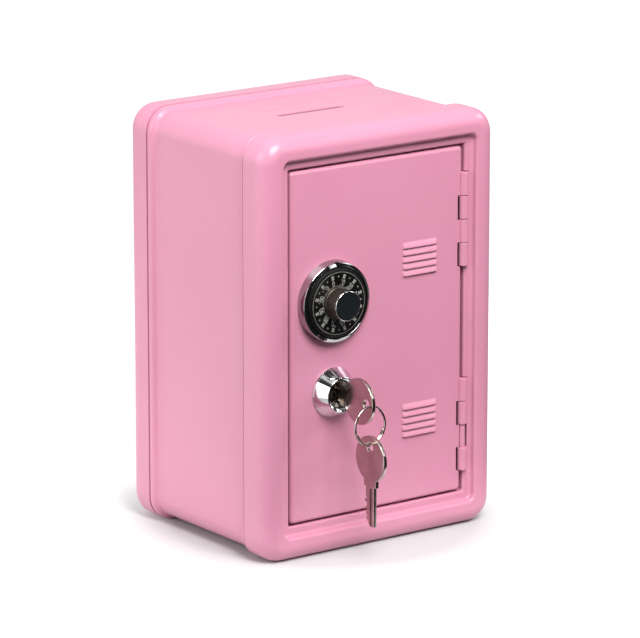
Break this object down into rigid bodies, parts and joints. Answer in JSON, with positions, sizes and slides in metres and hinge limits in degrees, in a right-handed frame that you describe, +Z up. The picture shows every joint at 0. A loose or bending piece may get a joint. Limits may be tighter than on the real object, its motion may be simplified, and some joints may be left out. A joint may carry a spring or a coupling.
{
  "type": "toy safe coin bank",
  "caption": "Small free-standing sheet-metal safe for coins, with a coin slot in the top, a hinged louvred door, a turning number dial and a cam lock with a key and a spare key on a ring.",
  "frame": {"origin": "on the surface that the safe stands on, midway across, at the middle of the front frame's foot, 11 mm behind the front plane", "axes": "+Z up, +X to the right as seen from the front, -Y out of the door"},
  "size_m": [0.12, 0.1325, 0.18],
  "materials": {
    "pink_paint": "smooth semi-gloss pink enamel",
    "chrome": "polished chrome plating",
    "dial_black": "satin black with pale printed numbers and marks",
    "knob_metal": "dark knurled metal",
    "nickel": "satin nickel plating",
    "plug_metal": "die-cast zinc, satin",
    "zinc": "bright zinc plating",
    "spring_steel": "plain spring steel",
    "brass": "stamped brass"
  },
  "bodies": {
    "housing": {"body_shell": "pink_paint", "front_frame": "pink_paint", "rear_cover": "pink_paint", "upper_hinge_pin": "pink_paint", "lower_hinge_pin": "pink_paint"},
    "door": {"door_panel": "pink_paint", "dial_bezel": "chrome", "dial_nut": "zinc", "spindle_washer": "spring_steel", "lock_housing": "chrome", "lock_nut": "zinc"},
    "dial": {"dial_disc": "dial_black", "dial_knob": "knob_metal", "knob_ring": "chrome", "knob_cap": "dial_black", "dial_spindle": "zinc", "spindle_clip": "spring_steel"},
    "plug": {"lock_plug": "plug_metal", "lock_wafers": "brass", "wafer_springs": "spring_steel", "stop_washer": "zinc", "lock_cam": "zinc", "cam_washer": "spring_steel", "cam_screw": "zinc"},
    "key": {"key": "nickel"},
    "ring": {"key_ring": "nickel"},
    "spare": {"spare_key": "nickel"}
  },
  "joints": [
    {"name": "door_hinge", "type": "hinge", "parent": "housing", "child": "door", "pos_m": [0.045, -0.008, 0.09], "axis": [0, 0, 1], "range_deg": [0, 145]},
    {"name": "dial_turn", "type": "hinge", "parent": "door", "child": "dial", "pos_m": [-0.0238, -0.008, 0.108], "axis": [0, -1, 0], "continuous": true},
    {"name": "key_turn", "type": "hinge", "parent": "door", "child": "plug", "pos_m": [-0.0229, -0.008, 0.069], "axis": [0, 1, 0], "range_deg": [0, 90]},
    {"name": "key_pull", "type": "slide", "parent": "plug", "child": "key", "axis": [0, -1, 0], "range_m": [0, 0.02]},
    {"name": "ring_swing", "type": "hinge", "parent": "key", "child": "ring", "pos_m": [-0.0229, -0.033, 0.0682], "axis": [-1, 0, 0], "range_deg": [-15, 60]},
    {"name": "spare_key_swing", "type": "hinge", "parent": "ring", "child": "spare", "pos_m": [-0.0224, -0.03345, 0.0522], "axis": [-1, 0, 0], "range_deg": [-15, 50]}
  ]
}
